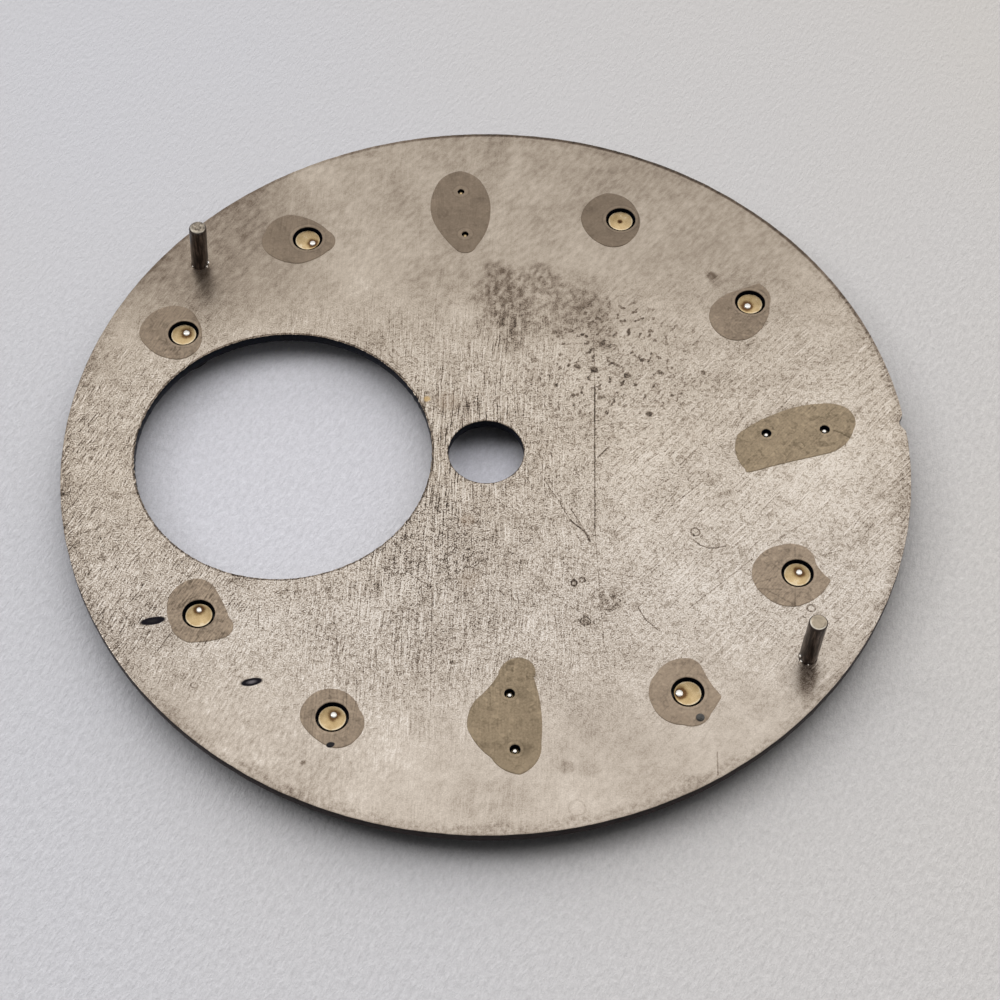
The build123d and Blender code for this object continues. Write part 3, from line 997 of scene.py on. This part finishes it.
def smooth_loop(points, parts):
    """A closed outline with each edge split into parts along a curve through the points."""
    result = []
    count = len(points)
    for index in range(count):
        a, b, c, d = (Vector(points[(index + k) % count]) for k in (-1, 0, 1, 2))
        for part in range(parts):
            t = part / parts
            point = 0.5 * (2 * b + (c - a) * t + (2 * a - 5 * b + 4 * c - d) * t * t
                           + (3 * b - a - 3 * c + d) * t ** 3)
            result.append((point.x, point.y))
    return result


def outline_loop(points):
    """A function that gives a free outline's points for an inset towards its inside."""
    count = len(points)
    centre = Vector((sum(p[0] for p in points) / count, sum(p[1] for p in points) / count))

    def inset_points(inset):
        result = []
        for index in range(count):
            before, here, after = (Vector(points[(index + k) % count]) for k in (-2, 0, 2))
            along = (after - before).normalized()
            inward = Vector((-along.y, along.x))
            if inward.dot(centre - here) < 0:
                inward = -inward
            moved = here + inward * inset
            result.append((moved.x, moved.y))
        return result
    return inset_points


def make_glue(hour, holes):
    """One dried glue patch: a thin film with a soft edge, open over the holes."""
    node = f"adhesive_{hour}"
    low, high = span(node)
    outlines = boundary_loops(node)
    rim = smooth_loop(outlines[0], 4)
    loops = [outline_loop(rim)]
    soft = FILM_EDGE
    for outline in outlines[1:]:
        centre, radius = circle_of(outline)
        if hour == DULL_PINS_HOUR:
            radius -= OVERHANG
        loops.append(hole_loop(centre, radius, HOLE_STEPS, 0.01, float(hour), 2.0))
        soft = min(soft, (min(math.dist(centre, point) for point in rim) - radius) * 0.4)
    profile = scaled(FILM_EDGE_FORM, soft, high.z - low.z, low.z)
    piece = slab(f"glue_{hour}", loops, profile, [glue(hour, holes_under(node, holes))], [0] * 6)
    stands_for(piece, node)


def make_round_marker(hour, material, bright):
    """A turned cup on the front with its stub and a raised pip on the stub's end."""
    node = f"round_index_{hour}"
    low, high = span(node)
    centre, radius = circle_in(low, high)
    top = high.z
    stub = STUB_RADIUS
    front = -PLATE_THICKNESS
    cup = CUP_RADIUS
    floor = low.z + CUP_DEPTH
    profile = [(0.0, top), (stub - 0.02, top), (stub - 0.006, top - 0.006), (stub, top - 0.02),
               (stub, top - 0.08), (stub, front), (radius, front), (radius, low.z + 0.12),
               (radius - 0.04, low.z + 0.05), (radius - 0.12, low.z), (cup + 0.02, low.z),
               (cup, low.z + 0.02), (cup, floor), (0.0, floor)]
    bm = bmesh.new()
    lathe(bm, centre, profile, 96)
    x, y, wide = PIPS[hour]
    pip = scaled(PIP_FORM, wide, PIP_HEIGHT, top)
    lathe(bm, (centre[0] + x, centre[1] + y), pip, 32, slot=0 if hour == DULL_PIP_HOUR else 1)
    stands_for(finished(bm, f"marker_{hour}", [material, bright]), node)


def softened(node, name, materials, width, pin_ends=(), pin_slot=1):
    """A copy of a CAD node's mesh with its sharp edges rounded over, and a rounded tip on each pin end."""
    bm = bmesh.new()
    bm.from_mesh(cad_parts[node].data)
    bmesh.ops.remove_doubles(bm, verts=bm.verts, dist=1e-8)
    bmesh.ops.dissolve_limit(bm, angle_limit=math.radians(1.0), verts=bm.verts, edges=bm.edges)
    sharp = [e for e in bm.edges if len(e.link_faces) == 2 and e.calc_face_angle() > math.radians(25)]
    bmesh.ops.bevel(bm, geom=sharp, offset=width * MM, offset_type="OFFSET", segments=2, profile=0.5,
                    affect="EDGES", clamp_overlap=True)
    for centre, z in pin_ends:
        lathe(bm, centre, scaled(PIN_FORM, PIN_RADIUS, PIN_RADIUS, z), 28, slot=pin_slot)
    return finished(bm, name, materials, 40.0)


def make_bar(hour, holes, material, bright, paste):
    """A bar marker with rounded pin ends, and the paste in its cup."""
    node = f"bar_index_{hour}"
    top = span(node)[1].z
    ends = [(centre, top - 0.01) for centre, _ in holes_under(node, holes)]
    slot = 0 if hour == DULL_PINS_HOUR else 1
    stands_for(softened(node, f"bar_{hour}", [material, bright], 0.02, ends, slot), node)
    node = f"lume_{hour}"
    stands_for(softened(node, f"fill_{hour}", [paste], 0.04), node)


def make_foot(minute, material, bright):
    """A dial foot with an uneven shank, its own kind of tip and bright bits of brazing at its root."""
    node = f"dial_foot_minute_{minute}"
    low, high = span(node)
    centre, _ = circle_in(low, high)
    radius = FOOT_RADIUS
    height = high.z
    tip = FOOT_TIP_ROUNDS[minute]
    lean = FOOT_LEANS[minute]
    root = FOOT_ROOT[-1][1]
    profile = FOOT_ROOT + [(radius, root + (height - tip - root) * share / 16) for share in range(1, 17)]
    for step in range(1, 5):
        turn = math.radians(90 * step / 4)
        profile.append((radius - tip * (1 - math.cos(turn)), height - tip * (1 - math.sin(turn))))
    dish = min(0.05, tip)
    profile += [(radius - tip - 0.02, height), (radius - tip - 0.04 - dish, height - dish),
                (0.0, height - dish * 0.8)]
    bm = bmesh.new()
    lathe(bm, centre, profile, 64, (lean[0] / height, lean[1] / height))
    for vertex in bm.verts:
        place = vertex.co / MM
        if 0.005 < place.z < height - 0.005:
            push = noise.noise(place * 2.2 + Vector((5.0, 1.0, float(minute)))) * 0.012
            if place.z < 0.14:
                push += noise.noise(place * 9.0) * 0.02
            out = Vector((place.x - centre[0], place.y - centre[1], 0.0)).normalized()
            vertex.co += out * push * MM
    for angle, rise, size in FOOT_BITS[minute]:
        turn = math.radians(angle)
        reach = radius - size * 0.1
        spot = (centre[0] + reach * math.cos(turn), centre[1] + reach * math.sin(turn))
        bit = scaled(BIT_FORM, size, size, rise)
        lathe(bm, spot, [(r, max(z, 0.0)) for r, z in bit if z > -size * 0.5 or r > 0], 20, slot=1)
    stands_for(finished(bm, f"foot_minute_{minute}", [material, bright]), node)


def make_round_fill(hour, material):
    """Luminous paste in a round cup, with a slightly sunk skin."""
    node = f"lume_{hour}"
    low, high = span(node)
    centre, radius = circle_in(low, high)
    bm = bmesh.new()
    profile = [(0.0, high.z), (radius, high.z), (radius, low.z + 0.01), (radius - 0.03, low.z),
               (radius * 0.6, low.z + 0.012), (0.0, low.z + 0.02)]
    lathe(bm, centre, profile)
    stands_for(finished(bm, f"fill_{hour}", [material]), node)


def make_drop(material):
    """A drop of dark glue that dried on the edge of the patch at 1 o'clock."""
    bm = bmesh.new()
    lathe(bm, DROP_CENTRE, DROP_PROFILE, 40)
    piece = finished(bm, "dark_bead", [material])
    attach(piece, "root")


def make_camera():
    """The photograph's viewpoint."""
    data = bpy.data.cameras.new("camera")
    data.lens = CAMERA_LENS
    data.sensor_width = SENSOR_WIDTH
    data.clip_start = 1 * MM
    data.clip_end = 10.0
    camera = bpy.data.objects.new("camera", data)
    bpy.context.scene.collection.objects.link(camera)
    camera.matrix_world = (Matrix.Translation(local(*CAMERA_TARGET))
                           @ Matrix.Rotation(math.radians(CAMERA_AZIMUTH), 4, "Z")
                           @ Matrix.Rotation(math.radians(90 - CAMERA_ELEVATION), 4, "X")
                           @ Matrix.Rotation(math.radians(CAMERA_ROLL), 4, "Z")
                           @ Matrix.Translation(local(0, 0, CAMERA_DISTANCE)))
    bpy.context.scene.camera = camera


def make_paper(material):
    """The sheet of paper that the markers' faces rest on."""
    bm = bmesh.new()
    z = cad_box[0][2] / MM
    corners = [(-1, -1), (1, -1), (1, 1), (-1, 1)]
    bm.faces.new([bm.verts.new(local(x * PAPER_REACH, y * PAPER_REACH, z)) for x, y in corners])
    finished(bm, "paper", [material])


def make_sky():
    """A pale sky. It lights the dial mostly from behind and above, and metal shows it brighter overhead."""
    world = bpy.data.worlds.new("sky")
    bpy.context.scene.world = world
    world.use_nodes = True
    background = world.node_tree.nodes["Background"].inputs
    background["Color"].default_value = SKY_COLOUR
    sky = Graph(world.node_tree, "Generated")
    x, y, z = sky.axes()
    rise = sky.ramp(z, *SHEEN_RISE, SHEEN_LOW, SHEEN_HIGH, smooth=True)
    near = sky.ramp(y, *SHEEN_NEAR, SHEEN_NEAR_SHARE, 1.0, smooth=True)
    side = sky.ramp(x, *SHEEN_SIDE, 0.0, SHEEN_SIDE_GAIN, smooth=True)
    sheen = rise * near + side

    azimuth = math.radians(LIGHT_AZIMUTH)
    elevation = math.radians(LIGHT_ELEVATION)
    level = math.cos(elevation)
    brightest = (level * math.sin(azimuth), level * math.cos(azimuth), math.sin(elevation))
    towards = sky.vector("DOT_PRODUCT", sky.place, brightest)
    light = sky.ramp(towards, *LIGHT_FALL, LIGHT_LOW, LIGHT_HIGH, smooth=True)

    kinds = ("Camera", "Glossy", "Transmission")
    camera, glossy, through = [sky.node("LightPath", f"Is {kind} Ray") for kind in kinds]
    seen = sky.larger(camera + glossy, through)
    sky.put(sky.mixed(seen, light, sheen), background["Strength"])


def make_lamp():
    """A lamp low at the left that gives polished edges their glints."""
    data = bpy.data.lights.new("lamp", "AREA")
    data.shape = "DISK"
    data.size = LAMP_SIZE * MM
    data.energy = LAMP_POWER
    lamp = bpy.data.objects.new("lamp", data)
    bpy.context.scene.collection.objects.link(lamp)
    lamp.matrix_world = (Matrix.Rotation(math.radians(180 - LAMP_AZIMUTH), 4, "Z")
                         @ Matrix.Rotation(math.radians(90 - LAMP_ELEVATION), 4, "X")
                         @ Matrix.Translation(local(0, 0, LAMP_DISTANCE)))


def shaded_side(stubs, holes):
    """Where the head of the round marker next to the opening comes nearest to the opening's centre: the
    place of the painted shade on that marker's side.
    """
    opening = max(holes, key=lambda hole: hole[1])[0]
    hour = min(stubs, key=lambda hour: math.dist(stubs[hour], opening))
    stub = stubs[hour]
    share = circle_in(*span(f"round_index_{hour}"))[1] / math.dist(stub, opening)
    return tuple(a + (b - a) * share for a, b in zip(stub, opening))


round_hours = sorted(name[-2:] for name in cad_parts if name.startswith("round_index_"))
bar_hours = sorted(name[-2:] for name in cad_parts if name.startswith("bar_index_"))
stubs = {hour: circle_in(*span(f"round_index_{hour}"))[0] for hour in round_hours}
holes = [circle_of(outline) for outline in boundary_loops("dial_plate")[1:]]

make_camera()
make_sky()
make_lamp()
make_paper(paper())
large_holes = [hole for hole in holes if hole[1] > LARGE_HOLE]
make_plate(holes, back_metal(large_holes), lacquer("wall_lacquer", False), lacquer("front_lacquer", True))
gold_plate = gold(stubs, shaded_side(stubs, holes))
bright = bright_metal()
paste = lume()
for hour in round_hours:
    make_round_marker(hour, gold_plate, bright)
    make_round_fill(hour, paste)
    make_glue(hour, holes)
for hour in bar_hours:
    make_bar(hour, holes, gold_plate, bright, paste)
    make_glue(hour, holes)
tips = []
for minute, lean in FOOT_LEANS.items():
    (x, y), _ = circle_in(*span(f"dial_foot_minute_{minute}"))
    tips.append((x + lean[0], y + lean[1]))
foot_metal = tarnished(tips)
for minute in FOOT_LEANS:
    make_foot(minute, foot_metal, bright)
make_drop(dark_glue())

scene = bpy.context.scene
scene.view_settings.view_transform = "Standard"
